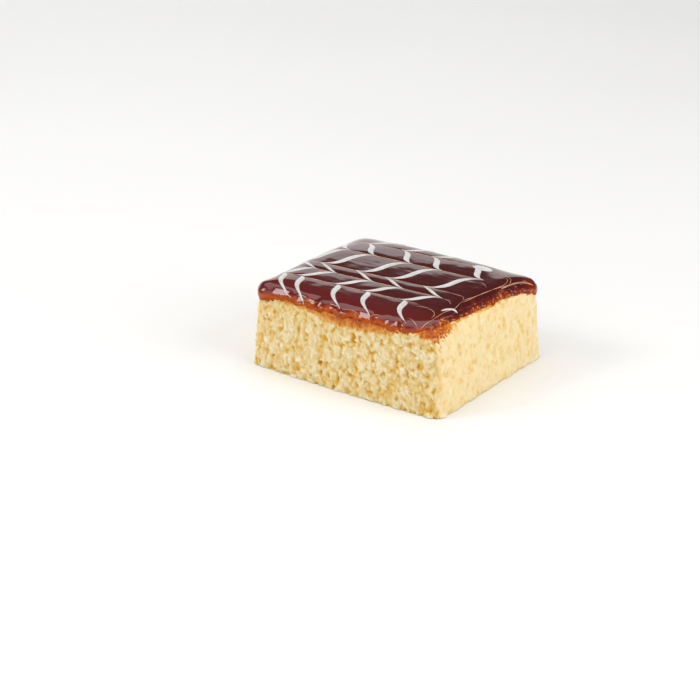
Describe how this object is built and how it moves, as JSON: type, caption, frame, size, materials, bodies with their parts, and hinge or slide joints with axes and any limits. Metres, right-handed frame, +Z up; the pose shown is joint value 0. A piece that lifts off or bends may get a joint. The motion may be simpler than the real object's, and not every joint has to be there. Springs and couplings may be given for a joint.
{
  "type": "tres leches cake",
  "caption": "Cut rectangular piece of pale milk-soaked sponge cake under a glossy dark caramel layer feathered with white icing lines.",
  "frame": {"origin": "on the surface that the cake stands on, under the middle of the piece", "axes": "+Z up, +X along the long front cut face, +Y from the front face to the back face"},
  "size_m": [0.0946, 0.0796, 0.0358],
  "materials": {
    "sponge": "matte, moist open crumb",
    "caramel": "wet gloss",
    "icing": "satin"
  },
  "bodies": {
    "root": {"sponge": "sponge", "caramel_glaze": "caramel"}
  },
  "joints": []
}
